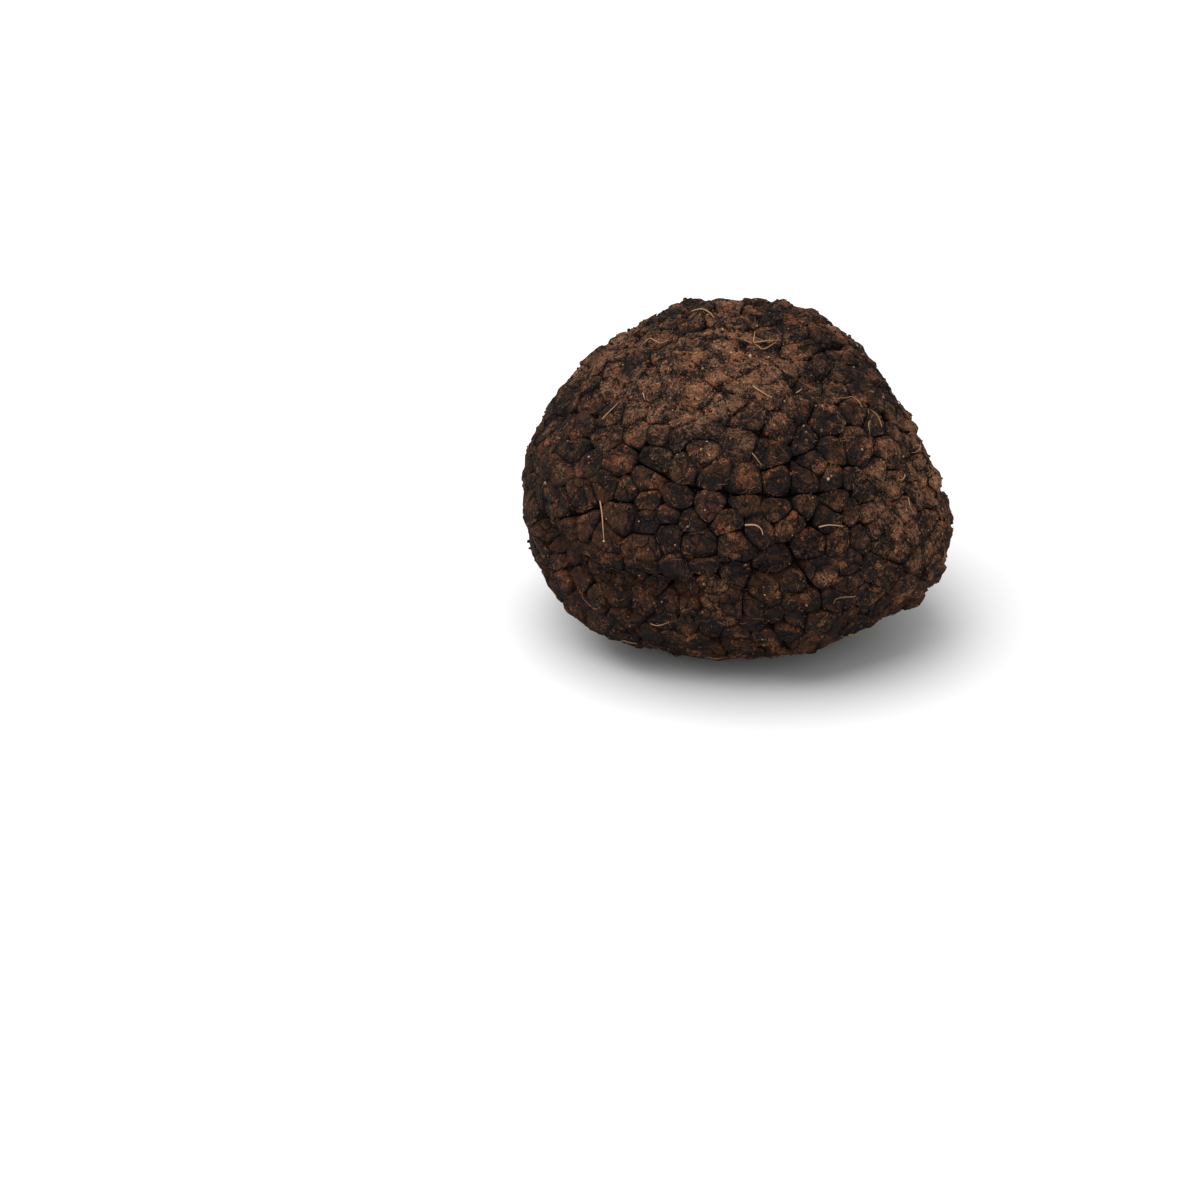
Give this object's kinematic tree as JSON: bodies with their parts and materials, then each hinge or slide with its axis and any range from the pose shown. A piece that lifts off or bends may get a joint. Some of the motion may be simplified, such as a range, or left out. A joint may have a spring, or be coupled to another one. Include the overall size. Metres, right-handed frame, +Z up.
{
  "type": "black truffle",
  "caption": "Whole fresh black truffle: a lumpy rounded body with a rough rind of polygonal warts parted by narrow cracks, resting on a small flat spot.",
  "frame": {"origin": "middle of the truffle's width and depth, in the plane that it rests on", "axes": "+X along the truffle's longest side, +Z up; the front faces -Y"},
  "size_m": [0.06, 0.056, 0.046],
  "materials": {
    "rind": "dull, dry and fibrous, with brown soil dust"
  },
  "bodies": {
    "root": {"truffle": "rind"}
  },
  "joints": []
}
